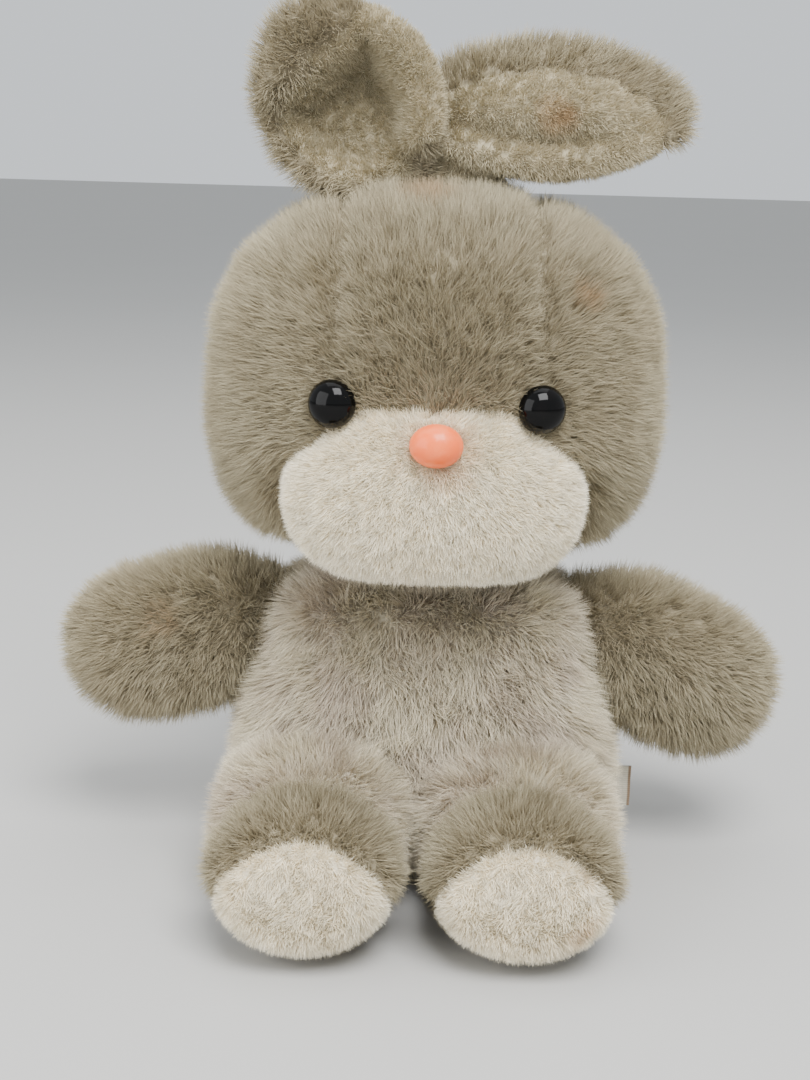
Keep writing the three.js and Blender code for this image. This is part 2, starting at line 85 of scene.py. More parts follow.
class Slot(Enum):
    """The finishes named by the record."""

    TAN = "tan_plush"
    GREY = "grey_plush"
    CREAM = "cream_plush"
    LABEL = "satin_label"
    BLACK = "black_plastic"
    PINK = "pink_plastic"
    CLEAR = "clear_plastic"


# ---------------------------------------------------------------- node trees


class Number:
    """A number that runs through a node tree, written as Python arithmetic."""

    def __init__(self, graph: "Graph", socket: bpy.types.NodeSocket) -> None:
        """Wraps a socket of a graph."""
        self.graph = graph
        self.socket = socket

    def _with(self, operation: str, *others: Any) -> "Number":
        """Adds one Math node on this number and the others."""
        terms = dict(enumerate((self, *others)))
        return self.graph.number("ShaderNodeMath", {"operation": operation}, terms)

    def _after(self, operation: str, first: Any) -> "Number":
        """Adds one Math node with this number as its second term."""
        return self.graph.number("ShaderNodeMath", {"operation": operation}, {0: first, 1: self})

    def __add__(self, other: Any) -> "Number":
        """Sum."""
        return self._with("ADD", other)

    __radd__ = __add__

    def __mul__(self, other: Any) -> "Number":
        """Product."""
        return self._with("MULTIPLY", other)

    __rmul__ = __mul__

    def __sub__(self, other: Any) -> "Number":
        """Difference."""
        return self._with("SUBTRACT", other)

    def __rsub__(self, other: Any) -> "Number":
        """Difference with the plain number first."""
        return self._after("SUBTRACT", other)

    def __truediv__(self, other: Any) -> "Number":
        """Quotient."""
        return self._with("DIVIDE", other)

    def __pow__(self, other: Any) -> "Number":
        """Power."""
        return self._with("POWER", other)

    def between(self, low: float, high: float) -> "Number":
        """A smooth step of this number, 0 below low and 1 above high."""
        settings = {"interpolation_type": "SMOOTHSTEP"}
        return self.graph.number("ShaderNodeMapRange", settings, {0: self, 1: low, 2: high})


class Graph:
    """A node tree under construction."""

    def __init__(self, tree: bpy.types.NodeTree) -> None:
        """Starts from a tree whose nodes are cleared."""
        self.tree = tree
        tree.nodes.clear()

    def node(self, kind: str, settings: dict | None = None, inputs: dict | None = None) -> bpy.types.Node:
        """Adds a node.

        Args:
            kind: The node's type.
            settings: Its properties, set before anything is plugged in.
            inputs: Values or links for its sockets, by name or place.

        Returns:
            The new node.
        """
        made = self.tree.nodes.new(kind)
        for name, value in (settings or {}).items():
            setattr(made, name, value)
        for key, value in (inputs or {}).items():
            if isinstance(value, Number):
                self.tree.links.new(value.socket, made.inputs[key])
            elif isinstance(value, bpy.types.NodeSocket):
                self.tree.links.new(value, made.inputs[key])
            else:
                made.inputs[key].default_value = value
        return made

    def number(self, kind: str, settings: dict | None = None, inputs: dict | None = None,
               output: int | str = 0) -> Number:
        """Adds a node and wraps one of its outputs as a number."""
        return Number(self, self.node(kind, settings, inputs).outputs[output])

    def vector(self, operation: str, first: Any, second: Any) -> bpy.types.NodeSocket:
        """Adds a Vector Math node and gives its vector."""
        return self.node("ShaderNodeVectorMath", {"operation": operation}, {0: first, 1: second}).outputs[0]

    def scaled(self, vector: Any, factor: Any) -> bpy.types.NodeSocket:
        """A vector or colour times a number."""
        made = self.node("ShaderNodeVectorMath", {"operation": "SCALE"}, {0: vector, "Scale": factor})
        return made.outputs[0]

    def mix(self, factor: Any, first: Any, second: Any) -> bpy.types.NodeSocket:
        """A colour between two colours."""
        pair = [value if isinstance(value, bpy.types.NodeSocket) else (*value, 1.0)
                for value in (first, second)]
        settings = {"data_type": "RGBA"}
        return self.node("ShaderNodeMix", settings, {0: factor, 6: pair[0], 7: pair[1]}).outputs[2]

    def noise(self, where: Any, scale: float, detail: float = 2.0) -> Number:
        """Noise from 0 to 1 at so many cells to the metre."""
        return self.number("ShaderNodeTexNoise", None, {"Vector": where, "Scale": scale, "Detail": detail})


    def surface(self, inputs: dict) -> None:
        """Ends a material with a Principled shader of these inputs."""
        shader = self.node("ShaderNodeBsdfPrincipled", None, inputs)
        self.node("ShaderNodeOutputMaterial", None, {"Surface": shader.outputs[0]})


# ---------------------------------------------------------------- finishes


def new_material(name: str) -> tuple[bpy.types.Material, Graph, bpy.types.NodeSocket]:
    """Starts a node material.

    Args:
        name: The material's name.

    Returns:
        The material, its graph, and the place of the point that is shaded.
    """
    made = bpy.data.materials.new(name)
    made.use_nodes = True
    graph = Graph(made.node_tree)
    return made, graph, graph.node("ShaderNodeTexCoord").outputs["Object"]


@dataclass(frozen=True)
class Stain:
    """An old mark on the pile: where it is, how far it reaches and what it dyes the fibres."""

    centre: Point
    radius: float
    colour: Colour
    strength: float = 0.8


@dataclass(frozen=True)
class Plush:
    """A pile fabric: the colour of its fibres, from a root colour darkened with painted shade deep in the
    pile to the tip, and how they are set.
    """

    name: str
    slot: Slot
    # root is the fibres' colour darkened with painted shade, where the pile shades its own bases.
    root: Colour
    tip: Colour
    patch: Colour
    length: float
    tufts: float
    strand: float
    tuft_radius: float
    strands: int
    lean: float
    clump: float
    clump_cells: float
    sheen: float
    stains: tuple[Stain, ...] = ()

    def material(self, on_pile: bool) -> bpy.types.Material:
        """The fabric's material.

        Args:
            on_pile: True for the fibres, False for the cloth that they are set in, which carries painted
                shade under the pile.

        Returns:
            A node material, made once for each fabric.
        """
        name = self.name + ("_pile" if on_pile else "_cloth")
        if name in bpy.data.materials:
            return bpy.data.materials[name]
        made, graph, where = new_material(name)
        patches = graph.noise(where, 45.0, 3.0).between(0.35, 0.7)
        if on_pile:
            height = graph.number("ShaderNodeAttribute", {"attribute_name": "tip"}, output="Fac")
            tuft = graph.number("ShaderNodeAttribute", {"attribute_name": "tuft"}, output="Fac")
            # The fibres darken towards the root: painted shade deep in the pile.
            colour = graph.mix(height ** 0.8, self.root, self.tip)
            shade = tuft * 0.34 + 0.83
        else:
            # The cloth between the roots is darkened to 0.55 to 0.85 of its colour: painted shade under the
            # pile.
            weave = graph.noise(where, 900.0)
            colour = graph.mix(weave, self.root, self.tip)
            shade = weave * 0.3 + 0.55
        colour = graph.mix(patches * 0.55, colour, self.patch)
        for stain in self.stains:
            settings = {"operation": "DISTANCE"}
            ends = {0: where, 1: stain.centre}
            away = graph.number("ShaderNodeVectorMath", settings, ends, output="Value")
            ragged = away + graph.noise(where, 160.0, 4.0) * stain.radius - stain.radius * 0.5
            mask = (1 - ragged.between(stain.radius * 0.1, stain.radius)) * stain.strength
            colour = graph.mix(mask, colour, stain.colour)
        graph.surface({
            "Base Color": graph.scaled(colour, shade), "Roughness": 0.85, "Specular IOR Level": 0.2,
            "Sheen Weight": self.sheen, "Sheen Roughness": 0.5, "Sheen Tint": (*self.tip, 1.0),
        })
        return made


@dataclass(frozen=True)
class Plastic:
    """A moulded plastic with a faint unevenness in its polish."""

    slot: Slot
    colour: Colour
    mottle: Colour
    roughness: float
    coat: float
    grain: float = 260.0
    shine: float = 0.3

    def material(self) -> bpy.types.Material:
        """The plastic's material, made once."""
        name = self.slot.value + "_moulded"
        if name in bpy.data.materials:
            return bpy.data.materials[name]
        made, graph, where = new_material(name)
        cloud = graph.noise(where, self.grain, 3.0)
        polish = graph.noise(where, self.grain * 4.0)
        bump = graph.node("ShaderNodeBump", None, {"Strength": 0.05, "Distance": 0.0002, "Height": polish})
        graph.surface({
            "Base Color": graph.mix(cloud.between(0.4, 0.75), self.colour, self.mottle),
            "Roughness": polish * 0.06 + self.roughness, "Coat Weight": self.coat, "Coat Roughness": 0.06,
            "Specular IOR Level": self.shine, "Normal": bump.outputs[0],
        })
        return made


@dataclass(frozen=True)
class Satin:
    """Woven satin tape with fine threads and a brown line along its fold."""

    slot: Slot = Slot.LABEL
    colour: Colour = (0.62, 0.58, 0.47)
    thread: Colour = (0.44, 0.38, 0.27)
    line: Colour = (0.2, 0.1, 0.035)
    threads: float = 9000.0

    def material(self, edge: float) -> bpy.types.Material:
        """The tape's material, with the line along the fold that reaches out to an edge."""
        made, graph, where = new_material(self.slot.value + "_tape")
        wave = graph.number("ShaderNodeTexWave", {"bands_direction": "Z"}, {
            "Vector": where, "Scale": self.threads / 20.0, "Distortion": 0.6, "Detail": 1.0}, "Fac")
        worn = graph.noise(where, 500.0, 3.0)
        bump = graph.node("ShaderNodeBump", None, {"Strength": 0.3, "Distance": 0.0001, "Height": wave})
        tape = graph.mix(worn.between(0.45, 0.8) * 0.5, self.colour, self.thread)
        out = graph.number("ShaderNodeSeparateXYZ", None, {0: where})
        tape = graph.mix(out.between(edge - 1.6 * MM, edge - 1.1 * MM) * 0.85, tape, self.line)
        graph.surface({
            "Base Color": graph.scaled(tape, wave * 0.2 + 0.85), "Roughness": 0.42, "Sheen Weight": 0.25,
            "Normal": bump.outputs[0],
        })
        return made


RUST = (0.36, 0.17, 0.05)
# Each fabric's root colour is its fibres' colour with painted shade of the deep pile; the tip colour is the
# fibres' own.
TAN = Plush("tan", Slot.TAN, root=(0.23, 0.185, 0.115), tip=(0.49, 0.435, 0.3),
            patch=(0.36, 0.305, 0.2), length=8.2 * MM, tufts=0.66e6,
            strand=0.155 * MM, tuft_radius=0.95 * MM, strands=5, lean=0.42, clump=0.95,
            clump_cells=130.0, sheen=0.2, stains=(
                Stain((-0.085, -0.028, 0.078), 0.012, RUST),
                Stain((0.044, -0.05, 0.185), 0.008, RUST, 0.6),
                Stain((-0.004, -0.022, 0.211), 0.014, RUST, 0.4),
            ))
GREY = Plush("grey", Slot.GREY, root=(0.42, 0.365, 0.275), tip=(0.84, 0.765, 0.58),
             patch=(0.53, 0.44, 0.37), length=9.0 * MM, tufts=0.6e6,
             strand=0.165 * MM, tuft_radius=1.0 * MM, strands=5, lean=0.6, clump=1.6,
             clump_cells=95.0, sheen=0.12)
CREAM = Plush("cream", Slot.CREAM, root=(0.88, 0.78, 0.58), tip=(0.98, 0.92, 0.76),
              patch=(0.93, 0.84, 0.65), length=3.6 * MM, tufts=1.1e6,
              strand=0.185 * MM, tuft_radius=0.8 * MM, strands=5, lean=0.35, clump=1.5,
              clump_cells=260.0, sheen=0.15, stains=(
                  Stain((0.047, -0.116, 0.013), 0.011, (0.5, 0.31, 0.15), 0.75),
                  Stain((0.0465, -0.112, 0.033), 0.006, (0.5, 0.31, 0.15), 0.6),
                  Stain((0.034, -0.022, 0.234), 0.01, (0.42, 0.24, 0.1), 0.75),
                  Stain(NOSE_AT, 0.016, (0.85, 0.62, 0.42), 0.6),
              ))
# The ear lining is a darker copy of the cream: partly real yellowing of the cloth, partly painted shade on
# the ear's front.
LINING_YELLOWED_AND_SHADED = replace(CREAM, name="lining", root=(0.45, 0.385, 0.25), tip=(0.55, 0.49, 0.34),
                 patch=(0.47, 0.4, 0.26), length=2.8 * MM, clump=0.7)
EYE_BLACK = Plastic(Slot.BLACK, (0.002, 0.002, 0.002), (0.003, 0.0025, 0.0025), 0.04, 0.0, shine=0.14)
NOSE_PINK = Plastic(Slot.PINK, (0.94, 0.15, 0.03), (0.96, 0.2, 0.06), 0.3, 0.15, shine=0.25)
WASHER_CLEAR = Plastic(Slot.CLEAR, (0.7, 0.7, 0.66), (0.6, 0.6, 0.56), 0.3, 0.0)


# ---------------------------------------------------------------- meshes


def linked(name: str, mesh: bpy.types.Mesh) -> bpy.types.Object:
    """Puts a mesh in the scene as an object of that name."""
    mesh.name = name
    made = bpy.data.objects.new(name, mesh)
    bpy.context.scene.collection.objects.link(made)
    return made


def applied(thing: bpy.types.Object) -> bpy.types.Object:
    """Turns an object's modifiers into its mesh."""
    graph = bpy.context.evaluated_depsgraph_get()
    mesh = bpy.data.meshes.new_from_object(thing.evaluated_get(graph), depsgraph=graph)
    thing.modifiers.clear()
    old = thing.data
    thing.data = mesh
    bpy.data.meshes.remove(old)
    return thing


def smoothstep(values: np.ndarray, low: float, high: float) -> np.ndarray:
    """A smooth step, 0 below low and 1 above high."""
    share = np.clip((values - low) / (high - low), 0.0, 1.0)
    return share * share * (3.0 - 2.0 * share)


def unit(vectors: np.ndarray) -> np.ndarray:
    """Vectors at length 1."""
    return vectors / np.maximum(np.linalg.norm(vectors, axis=-1, keepdims=True), 1e-9)


def node_tree_of(node: str) -> BVHTree:
    """A search tree over one CAD node's faces."""
    mesh = frame["nodes"][node].data
    return BVHTree.FromPolygons([v.co[:] for v in mesh.vertices], [p.vertices[:] for p in mesh.polygons])


def distances(points: np.ndarray, node: str) -> np.ndarray:
    """How far each point is from a CAD node's surface."""
    tree = node_tree_of(node)
    return np.array([tree.find_nearest(point)[3] for point in points.tolist()])


def points_of(node: str) -> np.ndarray:
    """The points of a CAD node."""
    return np.array([v.co for v in frame["nodes"][node].data.vertices])


def closest(points: np.ndarray, places: np.ndarray) -> tuple[np.ndarray, np.ndarray]:
    """Finds the nearest place to each point.

    Args:
        points: Where to look from.
        places: What to look for.

    Returns:
        The number of the nearest place, and how far away it is.
    """
    tree = KDTree(len(places))
    for number, place in enumerate(places):
        tree.insert(place, number)
    tree.balance()
    found = [tree.find(point) for point in points.tolist()]
    return np.array([item[1] for item in found]), np.array([item[2] for item in found])


class Shape:
    """The arrays of an all-quad mesh, for sculpting."""

    def __init__(self, thing: bpy.types.Object) -> None:
        """Reads an object's mesh."""
        self.thing = thing
        mesh = thing.data
        self.points = np.empty((len(mesh.vertices), 3), np.float32)
        mesh.vertices.foreach_get("co", self.points.ravel())
        self.points = self.points.astype(float)
        self.edges = np.empty((len(mesh.edges), 2), np.int32)
        mesh.edges.foreach_get("vertices", self.edges.ravel())
        loops = np.empty(len(mesh.loops), np.int32)
        mesh.loops.foreach_get("vertex_index", loops)
        self.faces = loops.reshape(-1, 4)
        self.count = np.bincount(self.edges.ravel(), minlength=len(self.points)).astype(float)

    def averaged(self, values: np.ndarray, rounds: int, share: float = 0.6) -> np.ndarray:
        """Evens values out along the edges.

        Args:
            values: One number or vector for each point.
            rounds: How many times each point moves towards its neighbours' mean.
            share: How far it moves each time.

        Returns:
            The evened values, in the same form.
        """
        flat = values.reshape(len(self.points), -1).astype(float)
        a, b = self.edges.T
        for _ in range(rounds):
            total = np.zeros_like(flat)
            for k in range(flat.shape[1]):
                total[:, k] = np.bincount(a, flat[b, k], len(flat)) + np.bincount(b, flat[a, k], len(flat))
            flat += share * (total / np.maximum(self.count, 1.0)[:, None] - flat)
        return flat.reshape(values.shape)

    def normals(self, rounds: int = 0) -> np.ndarray:
        """Finds the outward directions at the points.

        Args:
            rounds: How many times they are evened out.

        Returns:
            One unit vector for each point.
        """
        corners = self.points[self.faces]
        flat = np.cross(corners[:, 2] - corners[:, 0], corners[:, 3] - corners[:, 1])
        total = np.zeros_like(self.points)
        for k in range(3):
            for corner in range(4):
                total[:, k] += np.bincount(self.faces[:, corner], flat[:, k], len(total))
        return unit(self.averaged(unit(total), rounds))

    def write(self) -> None:
        """Puts the points back into the mesh."""
        self.thing.data.vertices.foreach_set("co", self.points.astype(np.float32).ravel())
        self.thing.data.update()


@dataclass(frozen=True)
class Lump:
    """A rounded mass of stuffing that fills out a skin."""

    centre: Point
    half: Point
    squareness: float = 2.0
    taper: float = 0.0
    tilt: float = 0.0
    floor: float = -1.0

    def add_to(self, mesh: bmesh.types.BMesh) -> None:
        """Adds the closed form to a mesh."""
        made = bmesh.ops.create_uvsphere(mesh, u_segments=56, v_segments=32, radius=1.0)["verts"]
        turn = Matrix.Rotation(math.radians(self.tilt), 3, "Y")
        for vert in made:
            spread = sum(abs(part) ** self.squareness for part in vert.co) ** (-1.0 / self.squareness)
            at = vert.co * spread
            width = 1.0 - self.taper * at.z
            across, deep, tall = self.half
            at = turn @ Vector((at.x * across * width, at.y * deep * width, at.z * tall))
            at += Vector(self.centre)
            vert.co = (at.x, at.y, max(at.z, self.floor))


@dataclass
class Panel:
    """One cut piece of fabric on a skin: its CAD node, its fabric and how the pile lies."""

    node: str
    plush: Plush
    pile_name: str
    inset: float = 5.0 * MM
    length: float = 1.0
    thinned: float = 1.0


@dataclass
class Skin:
    """A stuffed cloth skin sewn from panels, with its pile."""

    name: str
    body: str
    panels: list[Panel]
    stuffing: list[str]
    voxel: float = 3.0 * MM
    fill: float = 0.7
    puff: float = 3.0 * MM
    seam_depth: float = 0.9 * MM
    seam_width: float = 2.6 * MM
    pressure: float = 4.0
    stiffness: float = 12.0
    keep_off: dict[str, tuple[float, float]] = field(default_factory=dict)
    lumps: list[Lump] = field(default_factory=list)
    seed: int = 1
    thing: bpy.types.Object | None = None

    def pattern(self) -> bmesh.types.BMesh:
        """The closed forms that the skin is drawn over: its CAD panels, filled out by its lumps."""
        joined = bmesh.new()
        for node in [panel.node for panel in self.panels] + self.stuffing:
            joined.from_mesh(frame["nodes"][node].data)
        bmesh.ops.remove_doubles(joined, verts=joined.verts, dist=1e-6)
        for lump in self.lumps:
            lump.add_to(joined)
        return joined

    def cut(self) -> None:
        """Makes the closed skin over its pattern and draws it in by the height of the pile."""
        joined = self.pattern()
        mesh = bpy.data.meshes.new(self.name)
        joined.to_mesh(mesh)
        joined.free()
        self.thing = linked(self.name, mesh)
        remesh = self.thing.modifiers.new("even", "REMESH")
        remesh.mode = "VOXEL"
        remesh.voxel_size = self.voxel
        applied(self.thing)
        shape = Shape(self.thing)
        shape.points = shape.averaged(shape.points, 3)
        insets = np.array([panel.inset for panel in self.panels])[self.nearest(shape.points)]
        shape.points -= shape.normals(2) * shape.averaged(insets, 5)[:, None]
        shape.points = shape.averaged(shape.points, 1)
        shape.write()

    def nearest(self, points: np.ndarray) -> np.ndarray:
        """Which panel each point lies on."""
        return np.argmin([distances(points, panel.node) for panel in self.panels], axis=0)

    def stuff(self) -> None:
        """Adds the cloth that the stuffing swells."""
        cloth = self.thing.modifiers.new("stuffed", "CLOTH")
        settings = cloth.settings
        settings.quality = 4
        settings.use_pressure = True
        settings.uniform_pressure_force = self.pressure
        settings.effector_weights.gravity = 0.0
        settings.tension_stiffness = self.stiffness
        settings.compression_stiffness = self.stiffness
        cloth.collision_settings.use_collision = False

    def settle(self) -> None:
        """Takes the swollen cloth, keeps it near its pattern and smooths it once."""
        before = Shape(self.thing)
        if self.thing.modifiers:
            applied(self.thing)
            after = Shape(self.thing)
            moved = before.averaged(after.points - before.points, 2)
            reach = np.linalg.norm(moved, axis=1, keepdims=True)
            before.points += moved * np.minimum(1.0, self.puff / np.maximum(reach, 1e-9))
            before.write()
        finer = self.thing.modifiers.new("finer", "SUBSURF")
        finer.levels = 1
        finer.render_levels = 1
        applied(self.thing)

    def assign(self, shape: Shape) -> np.ndarray:
        """Which panel each face belongs to."""
        return self.nearest(shape.points[shape.faces].mean(axis=1))

    def sculpt(self, shape: Shape, home: np.ndarray) -> None:
        """Shapes the skin beyond its seams; most skins need nothing more."""

    def comb(self, points: np.ndarray, normals: np.ndarray) -> np.ndarray:
        """Which way the pile leans at each point: down, unless the piece says otherwise."""
        return np.tile((0.0, 0.0, -1.0), (len(points), 1))

    def dress(self) -> None:
        shape = Shape(self.thing)
        home = self.assign(shape)
        seam = self.seam_distance(shape, home)
        groove = self.seam_depth * np.exp(-((seam / self.seam_width) ** 2))
        shape.points -= shape.normals(2) * groove[:, None]
        self.sculpt(shape, home)
        shape.points[:, 2] = np.maximum(shape.points[:, 2], SKIN_CLEARANCE)
        shape.write()
        mesh = self.thing.data
        for plush in dict.fromkeys(panel.plush for panel in self.panels):
            mesh.materials.append(plush.material(on_pile=False))
        names = [material.name for material in mesh.materials]
        choice = [names.index(panel.plush.material(False).name) for panel in self.panels]
        mesh.polygons.foreach_set("material_index", np.array(choice, np.int32)[home])
        mesh.polygons.foreach_set("use_smooth", np.ones(len(home), bool))
        mesh.update()
        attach(self.thing, self.body)
        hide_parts(*[panel.node for panel in self.panels], *self.stuffing)
        LOG.info("%s: %d faces", self.name, len(home))
        cover, grown = self.growth(shape.points, seam)
        normals = shape.normals(1)
        lean = self.comb(shape.points, normals)
        lean = unit(lean - normals * np.sum(lean * normals, axis=1, keepdims=True))
        for index, panel in enumerate(self.panels):
            ground = Ground(shape, home == index, normals, lean, cover, grown * panel.length)
            pile = Pile(panel, self.body, self.seed + index).grow(ground)
            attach(pile, self.body)

    def seam_distance(self, shape: Shape, home: np.ndarray) -> np.ndarray:
        """Measures how far each point is from the nearest seam between two panels.

        Args:
            shape: The skin.
            home: The number of each face's panel.

        Returns:
            The distances, all of them large on a skin of one panel.
        """
        low = np.full(len(shape.points), 99)
        high = np.full(len(shape.points), -1)
        for corner in range(4):
            np.minimum.at(low, shape.faces[:, corner], home)
            np.maximum.at(high, shape.faces[:, corner], home)
        border = np.flatnonzero(low != high)
        if not len(border):
            return np.full(len(shape.points), 1.0)
        return closest(shape.points, shape.points[border])[1]

    def growth(self, points: np.ndarray, seam: np.ndarray) -> tuple[np.ndarray, np.ndarray]:
        """Where pile grows and how long it is.

        Args:
            points: The skin's points.
            seam: Their distance from the nearest seam.

        Returns:
            The share of tufts set at each point, and the share of their full length.
        """
        cover = np.ones(len(points))
        grown = 0.72 + 0.28 * smoothstep(seam, 0.0, 4.0 * MM)
        for node, (near, far) in self.keep_off.items():
            away = distances(points, node)
            cover *= smoothstep(away, near * 0.6, near)
            grown *= 0.25 + 0.75 * smoothstep(away, near, far)
        return cover, grown


# ---------------------------------------------------------------- pile


@dataclass
class Ground:
    """The part of a skin that one panel's pile is set in."""

    shape: Shape
    chosen: np.ndarray
    normals: np.ndarray
    lean: np.ndarray
    cover: np.ndarray
    grown: np.ndarray

    def thing(self, name: str) -> bpy.types.Object:
        """A mesh of the chosen faces that carries how the pile lies."""
        faces = self.shape.faces[self.chosen]
        used, packed = np.unique(faces, return_inverse=True)
        mesh = bpy.data.meshes.new(name)
        mesh.from_pydata(self.shape.points[used].tolist(), [], packed.reshape(-1, 4).tolist())
        for title, values in (("stand", self.normals), ("lean", self.lean)):
            layer = mesh.attributes.new(title, "FLOAT_VECTOR", "POINT")
            layer.data.foreach_set("vector", values[used].astype(np.float32).ravel())
        for title, values in (("cover", self.cover), ("grown", self.grown)):
            layer = mesh.attributes.new(title, "FLOAT", "POINT")
            layer.data.foreach_set("value", values[used].astype(np.float32))
        return linked(name, mesh)


@dataclass
class Pile:
    """The fibres of one panel, set tuft by tuft on its cloth."""

    panel: Panel
    body: str
    seed: int

    def tuft(self) -> bpy.types.Object:
        """A tuft of tapered three-sided fibres of unit height, made once for each fabric."""
        plush = self.panel.plush
        name = plush.name + "_tuft"
        if name in bpy.data.objects:
            return bpy.data.objects[name]
        random = np.random.default_rng(7)
        points, faces, tips = [], [], []
        for k in range(plush.strands):
            angle = 2.4 * k
            root = plush.tuft_radius * math.sqrt((k + 0.5) / plush.strands)
            base = np.array((root * math.cos(angle), root * math.sin(angle), -0.1 * plush.length))
            splay = 0.9 + 0.6 * random.random()
            rise = plush.length * (0.72 + 0.28 * random.random())
            top = np.array((base[0] * splay, base[1] * splay, rise))
            top[:2] += random.normal(0.0, 0.09 * plush.length, 2)
            start = len(points)
            for side in range(3):
                turn = angle + side * math.tau / 3
                points.append(base + plush.strand * np.array((math.cos(turn), math.sin(turn), 0.0)))
            points.append(top)
            tips += [0.0, 0.0, 0.0, 1.0]
            faces += [(start + side, start + (side + 1) % 3, start + 3) for side in range(3)]
        mesh = bpy.data.meshes.new(name)
        mesh.from_pydata([tuple(point) for point in points], [], faces)
        mesh.attributes.new("tip", "FLOAT", "POINT").data.foreach_set("value", tips)
        made = linked(name, mesh)
        made.hide_render = True
        return made

    def tree(self) -> bpy.types.NodeTree:
        """The node tree that sets tufts on cloth, made once for all fabrics."""
        if "set_pile" in bpy.data.node_groups:
            return bpy.data.node_groups["set_pile"]
        tree = bpy.data.node_groups.new("set_pile", "GeometryNodeTree")
        graph = Graph(tree)
        face = tree.interface
        face.new_socket("Cloth", in_out="INPUT", socket_type="NodeSocketGeometry")
        for title in ("Tufts", "Lean", "Clump", "Clump cells", "Spread"):
            face.new_socket(title, in_out="INPUT", socket_type="NodeSocketFloat")
        face.new_socket("Seed", in_out="INPUT", socket_type="NodeSocketInt")
        face.new_socket("Tuft", in_out="INPUT", socket_type="NodeSocketObject")
        face.new_socket("Fibre", in_out="INPUT", socket_type="NodeSocketMaterial")
        face.new_socket("Pile", in_out="OUTPUT", socket_type="NodeSocketGeometry")
        given = graph.node("NodeGroupInput").outputs

        def named(title: str, kind: str) -> bpy.types.NodeSocket:
            """Reads one attribute of the cloth."""
            settings = {"data_type": kind}
            return graph.node("GeometryNodeInputNamedAttribute", settings, {"Name": title}).outputs[0]

        def chance(low: float, high: float, extra: int) -> Number:
            """A random number for each tuft."""
            inputs = {2: low, 3: high, "Seed": Number(graph, given["Seed"]) + extra}
            return graph.number("FunctionNodeRandomValue", {"data_type": "FLOAT"}, inputs, output=1)

        def scatter(reach: Any, extra: int) -> bpy.types.NodeSocket:
            """A random vector for each tuft, within reach on each axis."""
            parts = {axis: chance(-1.0, 1.0, extra + axis) * reach for axis in range(3)}
            return graph.node("ShaderNodeCombineXYZ", None, parts).outputs[0]

        density = named("cover", "FLOAT")
        spots = graph.node("GeometryNodeDistributePointsOnFaces", {"distribute_method": "RANDOM"}, {
            "Mesh": given["Cloth"], "Density": Number(graph, density) * Number(graph, given["Tufts"]),
            "Seed": given["Seed"],
        })
        place = graph.node("GeometryNodeInputPosition").outputs[0]
        stand = named("stand", "FLOAT_VECTOR")
        swirl = graph.node("ShaderNodeTexNoise", None, {
            "Vector": place, "Scale": given["Clump cells"], "Detail": 1.0}).outputs["Color"]
        swirl = graph.vector("SUBTRACT", swirl, (0.5, 0.5, 0.5))
        way = graph.vector("ADD", stand, graph.scaled(named("lean", "FLOAT_VECTOR"), given["Lean"]))
        way = graph.vector("ADD", way, graph.scaled(swirl, given["Clump"]))
        way = graph.vector("ADD", way, scatter(Number(graph, given["Spread"]), 10))
        shade = graph.vector("ADD", graph.scaled(stand, 1.6), graph.scaled(way, 0.5))
        shade = graph.vector("ADD", shade, scatter(0.35, 20))
        shade = graph.node("ShaderNodeVectorMath", {"operation": "NORMALIZE"}, {0: shade}).outputs[0]
        kept = spots.outputs["Points"]
        for title, kind, value in (("shade", "FLOAT_VECTOR", shade), ("tuft", "FLOAT", chance(0.0, 1.0, 30))):
            kept = graph.node("GeometryNodeStoreNamedAttribute", {"data_type": kind, "domain": "POINT"}, {
                "Geometry": kept, "Name": title, "Value": value}).outputs[0]
        turned = graph.node("FunctionNodeAlignRotationToVector", {"axis": "Z"}, {"Vector": way}).outputs[0]
        spin = graph.node("FunctionNodeAxisAngleToRotation", None, {
            "Axis": (0.0, 0.0, 1.0), "Angle": chance(0.0, math.tau, 40)}).outputs[0]
        turned = graph.node("FunctionNodeRotateRotation", {"rotation_space": "LOCAL"}, {
            "Rotation": turned, "Rotate By": spin}).outputs[0]
        tall = Number(graph, named("grown", "FLOAT")) * chance(0.8, 1.12, 50)
        size = graph.node("ShaderNodeCombineXYZ", None, {0: 1.0, 1: 1.0, 2: tall}).outputs[0]
        tuft = graph.node("GeometryNodeObjectInfo", None, {"Object": given["Tuft"]}).outputs["Geometry"]
        tufts = graph.node("GeometryNodeInstanceOnPoints", None, {
            "Points": kept, "Instance": tuft, "Rotation": turned, "Scale": size}).outputs[0]
        whole = graph.node("GeometryNodeRealizeInstances", None, {"Geometry": tufts}).outputs[0]
        soft = graph.node("GeometryNodeSetMeshNormal", {"mode": "FREE", "domain": "POINT"}, {
            "Mesh": whole, "Custom Normal": named("shade", "FLOAT_VECTOR")}).outputs[0]
        dyed = graph.node("GeometryNodeSetMaterial", None, {"Geometry": soft, "Material": given["Fibre"]})
        graph.node("NodeGroupOutput", None, {"Pile": dyed.outputs[0]})
        return tree

